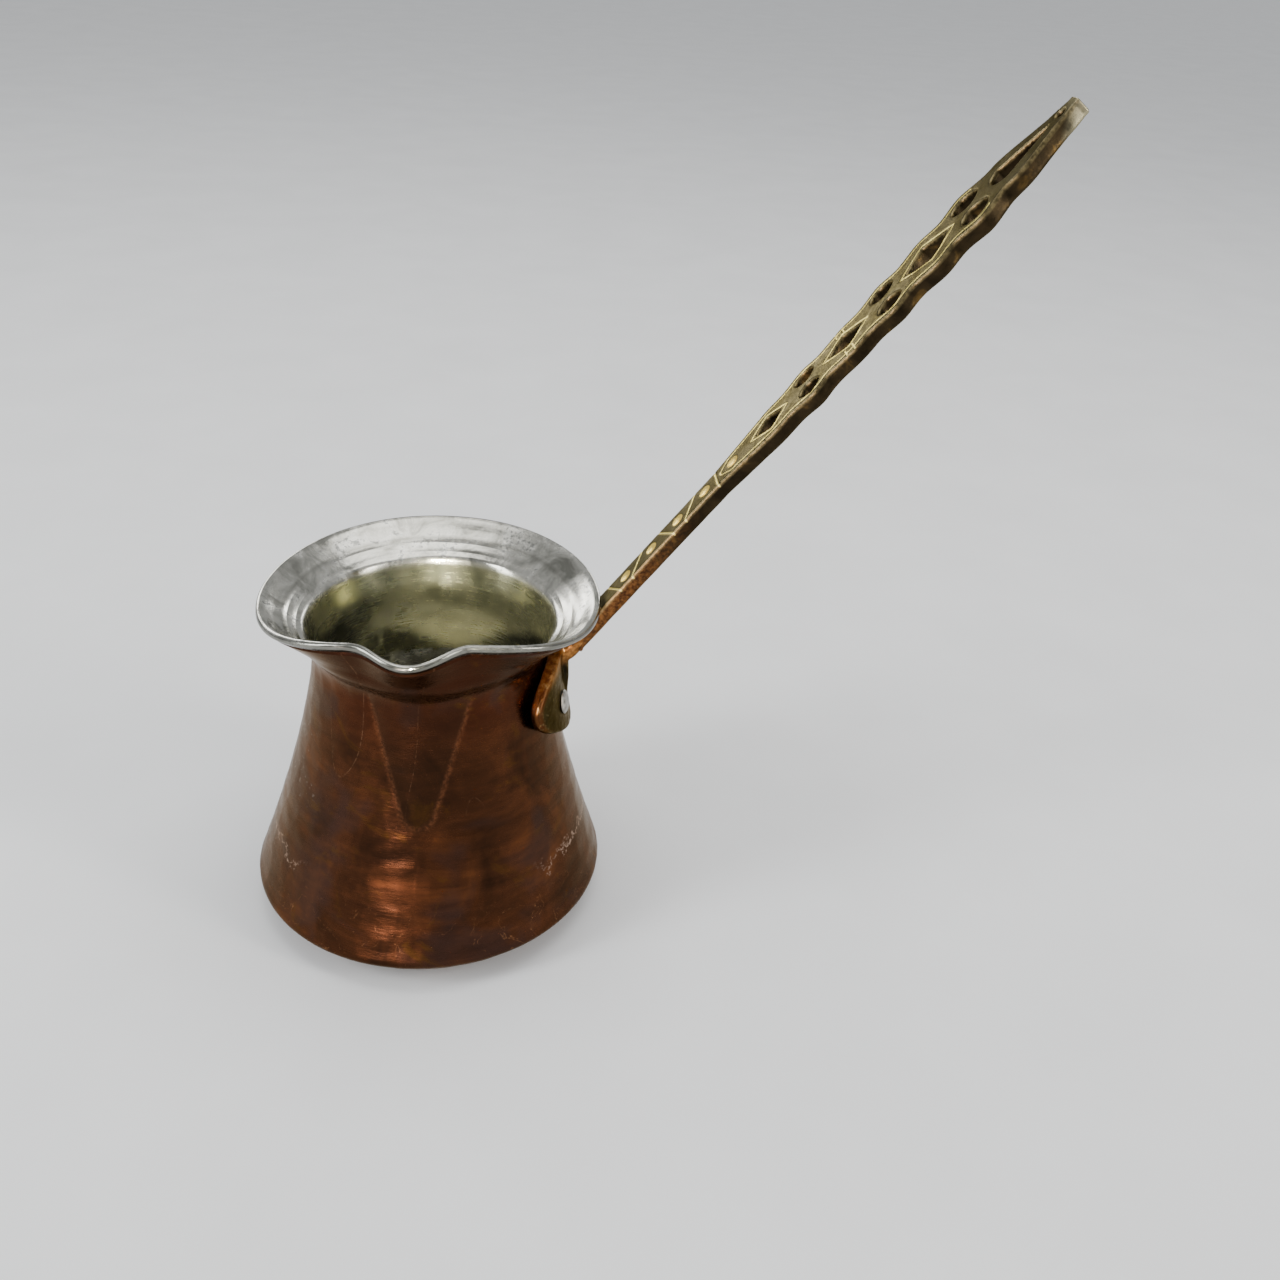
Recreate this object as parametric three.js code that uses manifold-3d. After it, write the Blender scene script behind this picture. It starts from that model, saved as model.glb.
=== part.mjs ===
// Turkish coffee pot (cezve): raised copper body, tin lining, cast brass handle, two rivets.
// Millimetres, +Z up, base centre on the ground at the origin, handle towards +X.
import * as THREE from 'three';
import { mergeVertices } from 'three/addons/utils/BufferGeometryUtils.js';
import Module from 'manifold-3d';

const wasm = await Module();
wasm.setup();
const { Manifold, Mesh } = wasm;
const rad = THREE.MathUtils.degToRad;
const smooth = THREE.MathUtils.smoothstep;

// ---- driving sizes ---------------------------------------------------------------
// body, outside radii and the heights they sit at
const baseRadius = 33.6;          // flat foot
const bellyRadius = 44.6;         // widest ring
const bellyHeight = 8.2;
const neckRadius = 28.4;          // narrowest ring
const neckHeight = 71;
const throatRadius = neckRadius + 1.4;    // inside crease where the flange starts
const throatHeight = neckHeight + 8.65;
const flangeWidth = 11.6;         // crease to lip, measured up the slope
const backReach = 1.7;            // extra flange width at the back, opposite the spout
const flangeTilt = rad(58.7);     // away from vertical
const bodyTaper = 1.38;           // 1 is a straight cone from belly to neck
const lean = 0.027;               // sideways drift per mm of height, towards the handle

// walls
const gap = 0.3;                  // clearance between neighbouring pieces
const copperWall = 1.2;
const lipCopper = 0.5;            // copper thickness inside the lip bead
const tinWall = 0.3;
const lipWrap = 0.9;              // how far the tin returns under the lip

// pouring lip and the channel below it
const spoutBearing = rad(-92);
const raisedTilt = rad(8);        // how upright the raised front of the flange would stand
const raisedReach = rad(76);      // bearing either side over which it settles back
const raisedTurn = rad(1);        // middle of the raised front, from the spout bearing
const pourDip = rad(24.5);        // how far the pouring point is bent back out of it
const pourReach = rad(23.5);
const pourTurn = rad(-2.5);
const channelDepth = 1.7;         // outward bulge at the neck
const channelFoot = neckHeight - 25;      // height where the rounded toe begins
const channelToe = 4.3;           // half width at the toe
const channelSpread = 0.275;      // extra half width per mm of height

// handle
const handleSlope = rad(52.6);
const handleLength = 171;
const lipStation = 23;            // distance along the handle where it passes the lip
const barWidth = 6.5;
const rootThickness = 3.9;
const tipThickness = 4.2;
const tipDroop = 0.5;             // the last stretch bends down this far
const plateHalfWidth = 20.2;
const plateTop = neckHeight + 2.4;
const plateBottom = plateTop - 22.9;
const plateThickness = 3.0;
const plateLift = 0.9;            // extra stand-off at the side edges
const footProud = 1.5;            // spine under the bar, beyond the plate face
const footBottom = plateBottom + 5.5;

// rivets
const rivetShank = 1.5;
const rivetHead = 3.0;
const rivetHeadHeight = 1.0;
const peenRadius = 2.6;
const peenHeight = 0.9;
const rivetOffset = 7.0;          // sideways from the handle plane
const rivetHeight = neckHeight - 11.5;

// mesh fineness
const turns = 72;
const spoutCrowding = 0.5;        // 0 is even spacing around the axis

// ---- helpers ---------------------------------------------------------------------
const P = (x, y) => new THREE.Vector2(x, y);

// Positions only, with the seam closed; done before anything is moved.
function weld(geometry) {
  const bare = new THREE.BufferGeometry();
  bare.setAttribute('position', geometry.getAttribute('position').clone());
  bare.setIndex(geometry.getIndex());
  return mergeVertices(bare, 1e-4);
}

function toSolid(geometry) {
  const g = weld(geometry);
  const pos = g.getAttribute('position').array;
  const tri = [];
  const src = g.getIndex().array;
  let volume = 0;
  const a = new THREE.Vector3(), b = new THREE.Vector3(), c = new THREE.Vector3();
  for (let i = 0; i < src.length; i += 3) {
    const [p, q, r] = [src[i], src[i + 1], src[i + 2]];
    if (p === q || q === r || r === p) continue;
    a.fromArray(pos, p * 3); b.fromArray(pos, q * 3); c.fromArray(pos, r * 3);
    volume += a.dot(b.cross(c));
    tri.push(p, q, r);
  }
  if (volume < 0) {
    for (let i = 0; i < tri.length; i += 3) [tri[i], tri[i + 1]] = [tri[i + 1], tri[i]];
  }
  return new Manifold(new Mesh({
    numProp: 3,
    vertProperties: new Float32Array(pos),
    triVerts: new Uint32Array(tri),
  }));
}

function toGeometry(solid) {
  const m = solid.getMesh();
  const g = new THREE.BufferGeometry();
  g.setAttribute('position', new THREE.BufferAttribute(new Float32Array(m.vertProperties), 3));
  g.setIndex(new THREE.BufferAttribute(new Uint32Array(m.triVerts), 1));
  g.computeVertexNormals();
  return g;
}

// Surface of revolution about Z; azimuths are crowded towards the spout. Each quad is cut
// from its lower end, so that nested shells bend along the same creases.
function turned(profile, segments = turns, crowding = spoutCrowding) {
  const position = [], index = [];
  const n = profile.length;
  for (let i = 0; i < segments; i++) {
    const u = (2 * Math.PI * i) / segments;
    const a = spoutBearing + u - crowding * Math.sin(u);
    for (const p of profile) position.push(p.x * Math.cos(a), p.x * Math.sin(a), p.y);
    const next = (i + 1) % segments;
    for (let j = 0; j < n - 1; j++) {
      const a0 = i * n + j, b0 = next * n + j, a1 = a0 + 1, b1 = b0 + 1;
      const low = profile[j], high = profile[j + 1];
      if (high.y + high.x * 1e-3 > low.y + low.x * 1e-3) index.push(a0, b0, b1, a0, b1, a1);
      else index.push(a0, b0, a1, b0, b1, a1);
    }
  }
  const g = new THREE.BufferGeometry();
  g.setAttribute('position', new THREE.Float32BufferAttribute(position, 3));
  g.setIndex(index);
  return weld(g);
}

function remap(geometry, fn) {
  const pos = geometry.getAttribute('position');
  const v = new THREE.Vector3();
  for (let i = 0; i < pos.count; i++) {
    v.fromBufferAttribute(pos, i);
    fn(v);
    pos.setXYZ(i, v.x, v.y, v.z);
  }
  return geometry;
}

const leaning = (v) => { v.x += lean * v.z; };

// Move a polyline sideways with mitred corners; positive is to the right of its travel.
function offset(points, distance) {
  return points.map((p, i) => {
    const into = p.clone().sub(points[i - 1] ?? p).normalize();
    const out = (points[i + 1] ?? p).clone().sub(p).normalize();
    const t = into.clone().add(out).normalize();
    const reach = distance / Math.max(t.dot(i ? into : out), 0.75);
    return P(p.x + t.y * reach, p.y - t.x * reach);
  });
}

// ---- body section ----------------------------------------------------------------
const flangeDir = P(Math.sin(flangeTilt), Math.cos(flangeTilt));
const flangeUp = P(-Math.cos(flangeTilt), Math.sin(flangeTilt));
const onFlange = (along, up) => P(
  throatRadius + along * flangeDir.x + up * flangeUp.x,
  throatHeight + along * flangeDir.y + up * flangeUp.y,
);
const wall = copperWall + gap + tinWall;
const beadRadius = lipCopper / 2 + gap + tinWall;
const beadAlong = flangeWidth - beadRadius;
const bead = (radius, degrees) => onFlange(
  beadAlong + radius * Math.cos(rad(degrees)), -beadRadius + radius * Math.sin(rad(degrees)),
);

const footCurve = new THREE.QuadraticBezierCurve(
  P(baseRadius, 0), P(bellyRadius - 1, bellyHeight * 0.58), P(bellyRadius, bellyHeight),
).getPoints(6);
const wallCurve = [];
for (const t of [0.03, 0.1, 0.22, 0.36, 0.5, 0.64, 0.78, 0.9, 1]) {
  wallCurve.push(P(
    neckRadius + (bellyRadius - neckRadius) * (1 - t) ** bodyTaper,
    bellyHeight + (neckHeight - bellyHeight) * t,
  ));
}
const underFlange = onFlange(3.4, -wall);
const neckCurve = new THREE.CubicBezierCurve(
  P(neckRadius, neckHeight), P(neckRadius, neckHeight + 4.4), onFlange(0.2, -wall), underFlange,
).getPoints(5).slice(1);

// Outside of the body from the foot to the neck, and the tin face that mirrors it.
const skin = [...footCurve, ...wallCurve];
const tinSide = offset(skin, -wall).filter((p) => p.y > wall + 0.4);
const floorRim = P(baseRadius - 1.2, wall);
const tinFace = [floorRim, ...tinSide, P(throatRadius - 1.3, throatHeight - 4),
  P(throatRadius - 0.25, throatHeight - 0.6), onFlange(0.5, 0), onFlange(2.8, 0),
  onFlange(flangeWidth * 0.6, 0)];
const tinBack = offset(tinFace, tinWall);
const copperFace = offset(tinFace, tinWall + gap);

const arc = (radius, from, to, steps) => {
  const out = [];
  for (let i = 0; i <= steps; i++) out.push(bead(radius, from + ((to - from) * i) / steps));
  return out;
};
const stepBack = beadAlong - lipWrap - gap - 0.3;
const copperProfile = [
  P(0, 0), ...skin, ...neckCurve,
  onFlange(stepBack, -wall),
  onFlange(stepBack + 0.3, -beadRadius - lipCopper / 2),
  ...arc(lipCopper / 2, -90, 90, 4),
  ...copperFace.toReversed(),
  P(0, copperWall),
];
const tinProfile = [
  P(0, copperWall + gap), ...tinBack,
  ...arc(beadRadius - tinWall, 90, -90, 4),
  onFlange(beadAlong - lipWrap, -2 * beadRadius + tinWall),
  onFlange(beadAlong - lipWrap, -2 * beadRadius),
  ...arc(beadRadius, -90, 90, 5),
  ...tinFace.toReversed(),
  P(0, wall),
];

// Spout: the front of the flange is raised, a pouring point dips between the two shoulders
// this leaves, and a rounded V channel runs from the throat down the body.
const bell = (bearing, reach) => (
  1 + Math.cos(Math.PI * Math.min(Math.abs(bearing) / reach, 1))
) / 2;
const tiltAt = (bearing) => flangeTilt
  - (flangeTilt - raisedTilt) * bell(bearing - raisedTurn, raisedReach)
  + pourDip * bell(bearing - pourTurn, pourReach);

function channelAt(bearing, radius, z) {
  const half = channelToe + channelSpread * Math.max(z - channelFoot, 0);
  const across = bearing * Math.max(radius, 20) / half;
  const past = Math.max(channelFoot - z, 0) / channelToe;
  const climb = Math.min(Math.max((z - channelFoot) / (neckHeight - channelFoot), 0), 1);
  const inside = Math.max(1 - across * across - past * past, 0);
  return channelDepth * (0.4 + 0.6 * climb) * inside ** (1 + smooth(z, neckHeight, throatHeight));
}

function pinch(v) {
  const r = Math.hypot(v.x, v.y);
  if (r > 1e-6) {
    const a = Math.atan2(v.y, v.x);
    let bearing = a - spoutBearing;
    bearing = Math.atan2(Math.sin(bearing), Math.cos(bearing));
    const onWall = smooth(r, 18, 22);
    const bulge = onWall * channelAt(bearing, r, v.z);
    let dx = r - throatRadius, dz = v.z - throatHeight;
    const along = dx * flangeDir.x + dz * flangeDir.y;
    const reach = backReach * smooth(Math.abs(bearing), rad(95), rad(170))
      * Math.max(along, 0) / flangeWidth;
    dx += reach * flangeDir.x;
    dz += reach * flangeDir.y;
    const turn = (flangeTilt - tiltAt(bearing)) * smooth(along, -3, 2.8);
    const c = Math.cos(turn), s = Math.sin(turn);
    const bent = throatRadius + dx * c - dz * s + bulge;
    v.z = throatHeight + dx * s + dz * c;
    v.x = bent * Math.cos(a);
    v.y = bent * Math.sin(a);
  }
  leaning(v);
}

// ---- rivet layout ----------------------------------------------------------------
const bodyRadiusAt = (z) => {
  const t = (z - bellyHeight) / (neckHeight - bellyHeight);
  return neckRadius + (bellyRadius - neckRadius) * Math.max(1 - t, 0) ** bodyTaper;
};
const seatRadius = bodyRadiusAt(rivetHeight);
const seatSlope = (bodyRadiusAt(rivetHeight + 1) - bodyRadiusAt(rivetHeight - 1)) / 2;
const seatBearing = Math.asin(rivetOffset / seatRadius);
const plateHalfBearing = Math.asin(plateHalfWidth / (seatRadius + plateThickness));
const liftAt = (bearing) => plateLift * (bearing / plateHalfBearing) ** 2;

// Local +Y of a turned rivet becomes the outward normal of the neck at the rivet.
function placeRivet(geometry, side) {
  const bearing = side * seatBearing;
  const lift = -seatSlope - lean * Math.cos(bearing);
  const normal = new THREE.Vector3(Math.cos(bearing), Math.sin(bearing), lift).normalize();
  const q = new THREE.Quaternion().setFromUnitVectors(new THREE.Vector3(0, 1, 0), normal);
  geometry.applyQuaternion(q);
  geometry.translate(
    seatRadius * Math.cos(bearing) + lean * rivetHeight, seatRadius * Math.sin(bearing), rivetHeight,
  );
  return geometry;
}
const rivetHole = (side) => toSolid(placeRivet(
  weld(new THREE.CylinderGeometry(rivetShank + gap, rivetShank + gap, 30, 24)), side,
));

// ---- body and lining -------------------------------------------------------------
const holes = rivetHole(1).add(rivetHole(-1));
const copperBody = toSolid(remap(turned(copperProfile), pinch)).subtract(holes);
const tinLining = toSolid(remap(turned(tinProfile), pinch)).subtract(holes);

// ---- handle ----------------------------------------------------------------------
const along = P(Math.cos(handleSlope), Math.sin(handleSlope));
const upward = P(-Math.sin(handleSlope), Math.cos(handleSlope));
const lipCentre = bead(0, 0);
const passing = P(lipCentre.x + lean * lipCentre.y, lipCentre.y)
  .addScaledVector(upward, -(beadRadius + gap));
const barRoot = passing.clone().addScaledVector(along, -lipStation);

// Openings and outline are drawn flat: x runs up the handle, y across it.
const station = (n) => handleLength * (0.479 + 0.0711 * n);
const diamonds = [
  { at: station(0), length: 7.8, width: 5.6, edge: 5.9 },
  { at: station(2), length: 9.7, width: 6.1, edge: 6.8 },
  { at: station(4), length: 11.7, width: 7.5, edge: 7.9 },
];
const pairs = [
  { at: station(1), length: 5.7, width: 4.6, apart: 6.3, edge: 7.1 },
  { at: station(3), length: 6.5, width: 4.9, apart: 7.35, edge: 7.8 },
  { at: station(5), length: 7.0, width: 5.4, apart: 7.4, edge: 8.45 },
];
const tear = { from: station(5.485), to: station(6.744), width: 7.2 };
const hangHole = { at: station(6.99), radius: 1.1 };
const studs = [0, 1, 2, 3, 4].map((n) => station(-4.1 + 0.775 * n));
const studRadius = 1.8;
const studDepth = 0.4;

const halfBar = barWidth / 2;
const upper = [
  P(-4, halfBar), P(station(-1.48), halfBar), P(station(-0.98), 4.2), P(station(-0.45), 5.1),
  P(diamonds[0].at, diamonds[0].edge), P(station(0.5), 5.7),
  P(pairs[0].at, pairs[0].edge), P(station(1.44), 5.9),
  P(diamonds[1].at, diamonds[1].edge), P(station(2.48), 6.3),
  P(pairs[1].at, pairs[1].edge), P(station(3.46), 6.5),
  P(diamonds[2].at, diamonds[2].edge), P(station(4.47), 6.8),
  P(pairs[2].at, pairs[2].edge), P(station(5.52), 6.3),
  P(station(5.93), 6.2), P(station(6.62), 3.5), P(station(6.84), 2.7),
  P(hangHole.at, 2.45), P(handleLength - 1.2, 1.6),
];
const edgeLine = [upper[0], ...new THREE.SplineCurve(upper.slice(1)).getPoints(76)];
const outline = new THREE.Shape([
  ...edgeLine.map((p) => P(p.x, -p.y)), P(handleLength, -0.9), P(handleLength, 0.9),
  ...edgeLine.toReversed(),
]);

const loop = (cx, cy, count, shape) => {
  const pts = [];
  for (let i = 0; i < count; i++) {
    const a = (2 * Math.PI * i) / count;
    const p = shape(Math.cos(a), Math.sin(a));
    pts.push(P(cx + p.x, cy + p.y));
  }
  return new THREE.Path(pts);
};
const round = (v, power) => Math.sign(v) * Math.abs(v) ** power;
for (const d of diamonds) {
  outline.holes.push(loop(d.at, 0, 24, (c, s) => P(
    round(c, 1.6) * d.length / 2, round(s, 1.6) * d.width / 2,
  )));
}
for (const p of pairs) {
  for (const side of [-1, 1]) {
    outline.holes.push(loop(p.at, (side * p.apart) / 2, 18, (c, s) => P(
      round(c, 1.15) * p.length / 2, round(s, 1.15) * p.width / 2,
    )));
  }
}
const tearHalf = (t) => (tear.width / 2) * Math.sqrt(Math.min(1, 5 * t)) * (1 - t) ** 0.75;
const tearEdge = [0, 0.03, 0.08, 0.15, 0.2, 0.3, 0.42, 0.55, 0.68, 0.8, 0.9, 0.96]
  .map((t) => P(tear.from + (tear.to - tear.from) * t, tearHalf(t)));
outline.holes.push(new THREE.Path([
  ...tearEdge, P(tear.to, 0), ...tearEdge.slice(1).toReversed().map((p) => P(p.x, -p.y)),
]));
outline.holes.push(loop(hangHole.at, 0, 12, (c, s) => P(c * hangHole.radius, s * hangHole.radius)));

// Flat drawing to space: x up the handle, y across, z above the top face.
function ontoHandle(v) {
  const { x, y, z } = v;
  const thickness = rootThickness
    + (tipThickness - rootThickness) * smooth(x / handleLength, 0.7, 0.95);
  const drop = (z < 0 ? -thickness : z) - tipDroop * smooth(x / handleLength, 0.86, 1);
  v.set(barRoot.x + along.x * x + upward.x * drop, -y, barRoot.y + along.y * x + upward.y * drop);
}
const barGeometry = new THREE.ExtrudeGeometry(outline, { depth: 1, bevelEnabled: false, steps: 1 });
barGeometry.translate(0, 0, -1);
const bar = toSolid(remap(barGeometry, ontoHandle));

const studCuts = studs.map((s) => {
  const ball = (studRadius ** 2 + studDepth ** 2) / (2 * studDepth);
  const cap = Math.asin(studRadius / ball);
  const dimple = weld(new THREE.LatheGeometry([
    P(0, -studDepth), ...[0.25, 0.5, 0.75, 1].map((k) => P(
      ball * Math.sin(cap * k), ball - studDepth - ball * Math.cos(cap * k),
    )), P(studRadius, 0.6), P(0, 0.6),
  ], 20));
  dimple.rotateX(Math.PI / 2);
  return toSolid(remap(dimple.translate(s, 0, 0), (v) => {
    v.set(barRoot.x + along.x * v.x + upward.x * v.z, -v.y, barRoot.y + along.y * v.x + upward.y * v.z);
  }));
});

// Shell that follows the neck, cut to the palm plate outline.
const neckBand = [...skin, ...neckCurve]
  .filter((p) => p.y > plateBottom - 11 && p.y < plateTop + 5.5);
const shell = (inner, outer) => {
  const loopPoints = [...offset(neckBand, outer), ...offset(neckBand, inner).toReversed()];
  return toSolid(remap(turned([...loopPoints, loopPoints[0].clone()], 108, 0), (v) => {
    const r = Math.hypot(v.x, v.y), a = Math.atan2(v.y, v.x);
    const grown = r + Math.min(liftAt(a), 4);
    v.x = grown * Math.cos(a);
    v.y = grown * Math.sin(a);
    leaning(v);
  }));
};
const plateEdge = [
  P(0, plateTop), P(halfBar + 1.4, plateTop - 0.1), P(plateHalfWidth * 0.52, plateTop - 1.6),
  P(plateHalfWidth * 0.8, plateTop - 4.6), P(plateHalfWidth * 0.97, plateTop - 8),
  P(plateHalfWidth, plateBottom + 11.5), P(plateHalfWidth * 0.96, plateBottom + 8.4),
  P(plateHalfWidth * 0.78, plateBottom + 5.3), P(plateHalfWidth * 0.36, plateBottom + 1.1),
  P(0, plateBottom),
];
const plateCurve = new THREE.SplineCurve(plateEdge).getPoints(30);
const plateShape = new THREE.Shape([
  ...plateCurve, ...plateCurve.slice(1, -1).toReversed().map((p) => P(-p.x, p.y)),
]);
const plateBlock = new THREE.ExtrudeGeometry(plateShape, { depth: 40, bevelEnabled: false });
plateBlock.applyMatrix4(new THREE.Matrix4().makeBasis(
  new THREE.Vector3(0, 1, 0), new THREE.Vector3(0, 0, 1), new THREE.Vector3(1, 0, 0),
));
plateBlock.translate(12, 0, 0);
const plate = shell(gap, gap + plateThickness).intersect(toSolid(plateBlock));

// Spine under the bar where it turns down into the plate.
const faceX = (z) => bodyRadiusAt(z) + lean * z + gap + plateThickness;
const heel = barRoot.clone().addScaledVector(along, 8).addScaledVector(upward, -rootThickness);
const spineTop = neckHeight - 5;
const spineShape = new THREE.Shape([
  P(faceX(footBottom) - 2, footBottom), P(faceX(footBottom) + 0.2, footBottom),
  P(faceX(heel.y - 4) + footProud, heel.y - 4), P(heel.x + 0.3, heel.y + 0.4),
  P(heel.x - 1.2, heel.y + 3.4), P(heel.x - 6, heel.y + 3.4), P(faceX(spineTop) - 2.4, spineTop),
]);
const spineBlock = new THREE.ExtrudeGeometry(spineShape, { depth: barWidth, bevelEnabled: false });
spineBlock.rotateX(Math.PI / 2);
spineBlock.translate(0, barWidth / 2, 0);

const clearOfNeck = toSolid(remap(turned([
  P(0, neckBand[0].y), ...offset(neckBand, gap), P(0, neckBand.at(-1).y + gap),
], 108, 0), leaning));
let brassHandle = bar.add(toSolid(spineBlock)).subtract(clearOfNeck).add(plate);
for (const cut of studCuts) brassHandle = brassHandle.subtract(cut);
brassHandle = brassHandle.subtract(holes);

// ---- rivets ----------------------------------------------------------------------
const headSeat = gap + plateThickness + liftAt(seatBearing) + gap;
const peenSeat = wall + gap + peenRadius ** 2 / (2 * (seatRadius - wall));
const rivetProfile = [
  P(0, -peenSeat - peenHeight), P(peenRadius * 0.55, -peenSeat - peenHeight * 0.92),
  P(peenRadius * 0.88, -peenSeat - peenHeight * 0.55), P(peenRadius, -peenSeat),
  P(rivetShank, -peenSeat), P(rivetShank, headSeat), P(rivetHead, headSeat),
  P(rivetHead * 0.95, headSeat + rivetHeadHeight * 0.55),
  P(rivetHead * 0.7, headSeat + rivetHeadHeight * 0.93), P(0, headSeat + rivetHeadHeight),
];
const rivet = (side) => toSolid(placeRivet(weld(new THREE.LatheGeometry(rivetProfile, 24)), side));

// ---- scene graph -----------------------------------------------------------------
const copper = new THREE.MeshStandardMaterial({ color: 0x7a4630, metalness: 1, roughness: 0.35 });
const tin = new THREE.MeshStandardMaterial({ color: 0xc9c8c0, metalness: 1, roughness: 0.3 });
const brass = new THREE.MeshStandardMaterial({ color: 0x9a8a5e, metalness: 1, roughness: 0.4 });
const iron = new THREE.MeshStandardMaterial({ color: 0x9b9a95, metalness: 1, roughness: 0.45 });

const group = new THREE.Group();
group.name = 'turkish_coffee_pot';
function addPiece(name, solid, material) {
  const mesh = new THREE.Mesh(toGeometry(solid), material);
  mesh.name = name;
  group.add(mesh);
}
addPiece('copper_body', copperBody, copper);
addPiece('tin_lining', tinLining, tin);
addPiece('brass_handle', brassHandle, brass);
addPiece('rivet_spout_side', rivet(-1), iron);
addPiece('rivet_far_side', rivet(1), iron);

export default group;
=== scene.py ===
"""Looks for the hammered copper coffee pot: copper body, tin lining, pierced brass handle, rivets.

Lengths below are millimetres in the part's own frame (base centre at the origin, +Z up,
handle towards +X, spout towards -Y); meshes are scaled to metres as they are made.
"""

import math

import bmesh
import bpy
import numpy as np
from mathutils import Matrix, Vector, noise


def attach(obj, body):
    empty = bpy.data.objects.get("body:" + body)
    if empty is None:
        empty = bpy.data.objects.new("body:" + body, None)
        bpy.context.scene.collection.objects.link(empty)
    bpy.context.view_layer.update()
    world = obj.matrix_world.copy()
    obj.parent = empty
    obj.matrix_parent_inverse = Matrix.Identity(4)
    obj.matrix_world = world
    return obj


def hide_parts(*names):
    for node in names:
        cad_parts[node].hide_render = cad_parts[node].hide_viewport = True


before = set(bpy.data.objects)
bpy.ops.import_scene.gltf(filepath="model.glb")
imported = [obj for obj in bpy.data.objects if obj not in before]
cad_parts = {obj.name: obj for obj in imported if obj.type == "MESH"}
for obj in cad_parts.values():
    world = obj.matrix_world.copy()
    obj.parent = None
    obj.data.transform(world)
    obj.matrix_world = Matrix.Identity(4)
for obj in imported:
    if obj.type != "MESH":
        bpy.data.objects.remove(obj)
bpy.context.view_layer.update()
MM = 0.001
rad = math.radians

# ---- sizes shared with the part ----------------------------------------------------
BASE_R, BELLY_R, BELLY_Z = 33.6, 44.6, 8.2
NECK_R, NECK_Z = 28.4, 71.0
THROAT_R, THROAT_Z = 29.8, 79.65
FLANGE_W, FLANGE_TILT, BACK_REACH = 11.6, rad(58.7), 1.7
TAPER, LEAN = 1.38, 0.027
GAP, COPPER, LIP_COPPER, TIN = 0.3, 1.2, 0.5, 0.3
LIP_WRAP = 0.9
WALL = COPPER + GAP + TIN
BEAD = LIP_COPPER / 2 + GAP + TIN
SPOUT = rad(-92)
RAISED_TILT, RAISED_REACH, RAISED_TURN = rad(8), rad(76), rad(1)
POUR_DIP, POUR_REACH, POUR_TURN = rad(24.5), rad(23.5), rad(-2.5)
CHANNEL_DEPTH, CHANNEL_FOOT, CHANNEL_TOE, CHANNEL_SPREAD = 1.7, 46.0, 4.3, 0.275

SLOPE = rad(52.6)
LENGTH, LIP_STATION = 171.0, 23.0
BAR_W, ROOT_T, TIP_T, TIP_DROOP = 6.5, 3.9, 4.2, 0.5
PLATE_HALF, PLATE_LOW, PLATE_TOP, PLATE_T, PLATE_LIFT = 20.2, 50.5, 73.4, 3.0, 0.9
FOOT_LOW = 56.0
RIVET_Y, RIVET_Z, RIVET_HEAD, RIVET_RISE, SHANK = 7.0, 59.5, 3.0, 1.0, 1.5
PEEN_R, PEEN_H = 2.6, 0.9

# ---- mesh detail -------------------------------------------------------------------
TURNS, SEEN_STEP, HIDDEN_STEP = 420, 0.9, 2.5
BAR_STEP, PLATE_STEP, MERGE_VOXEL, WALL_ROWS = 0.27, 0.5, 0.32, 4
BAR_START = 10.5
FAR_OFF = 99.0


# ---- small helpers -----------------------------------------------------------------
def smooth(x, lo, hi):
    """0 up to lo, 1 from hi on, an S curve between."""
    t = np.clip((np.asarray(x, float) - lo) / (hi - lo), 0, 1)
    return t * t * (3 - 2 * t)


def bump(x, centre, width):
    """1 at the centre, falling smoothly to 0 at centre +- width."""
    t = np.clip(np.abs(np.asarray(x, float) - centre) / width, 0, 1)
    return (1 - t * t) ** 2


def make_object(name, verts, faces, replaces=()):
    mesh = bpy.data.meshes.new(name)
    mesh.from_pydata((np.asarray(verts) * MM).tolist(), [], faces)
    mesh.validate()
    mesh.shade_smooth()
    obj = bpy.data.objects.new(name, mesh)
    bpy.context.scene.collection.objects.link(obj)
    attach(obj, "root")
    if replaces:
        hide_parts(*replaces)
    return obj


def set_attribute(obj, name, values):
    attribute = obj.data.attributes.new(name, "FLOAT", "POINT")
    attribute.data.foreach_set("value", np.asarray(values, np.float32))


def value_noise(points, size, seed=0):
    """Smooth noise in -1..1 at each point; size is the feature size in mm."""
    shift = Vector((seed * 17.3, seed * 5.1, seed * 9.7))
    return np.array([noise.noise(Vector(p) / size + shift) for p in points])


# ---- body section ------------------------------------------------------------------
FLANGE_DIR = np.array([math.sin(FLANGE_TILT), math.cos(FLANGE_TILT)])
FLANGE_UP = np.array([-math.cos(FLANGE_TILT), math.sin(FLANGE_TILT)])


def on_flange(along, up):
    """Radius and height of a point this far up the flange and this far above its face."""
    return np.array([THROAT_R, THROAT_Z]) + along * FLANGE_DIR + up * FLANGE_UP


def bead(radius, degrees):
    """A point round the middle of the lip's bead."""
    a = rad(degrees)
    return on_flange(FLANGE_W - BEAD + radius * math.cos(a), -BEAD + radius * math.sin(a))


def bead_arc(radius, start, end, steps):
    return [bead(radius, start + (end - start) * i / steps) for i in range(steps + 1)]


def bezier(points, steps):
    pts = [np.array(p, float) for p in points]
    out = []
    for i in range(steps + 1):
        t, row = i / steps, pts
        while len(row) > 1:
            row = [a * (1 - t) + b * t for a, b in zip(row, row[1:])]
        out.append(row[0])
    return out


def body_radius(z):
    t = (np.asarray(z, float) - BELLY_Z) / (NECK_Z - BELLY_Z)
    return NECK_R + (BELLY_R - NECK_R) * np.maximum(1 - t, 0) ** TAPER


def offset(points, distance):
    pts = np.array(points)
    t = np.gradient(pts, axis=0)
    t /= np.linalg.norm(t, axis=1)[:, None]
    return [p + distance * np.array([d[1], -d[0]]) for p, d in zip(pts, t)]


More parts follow.
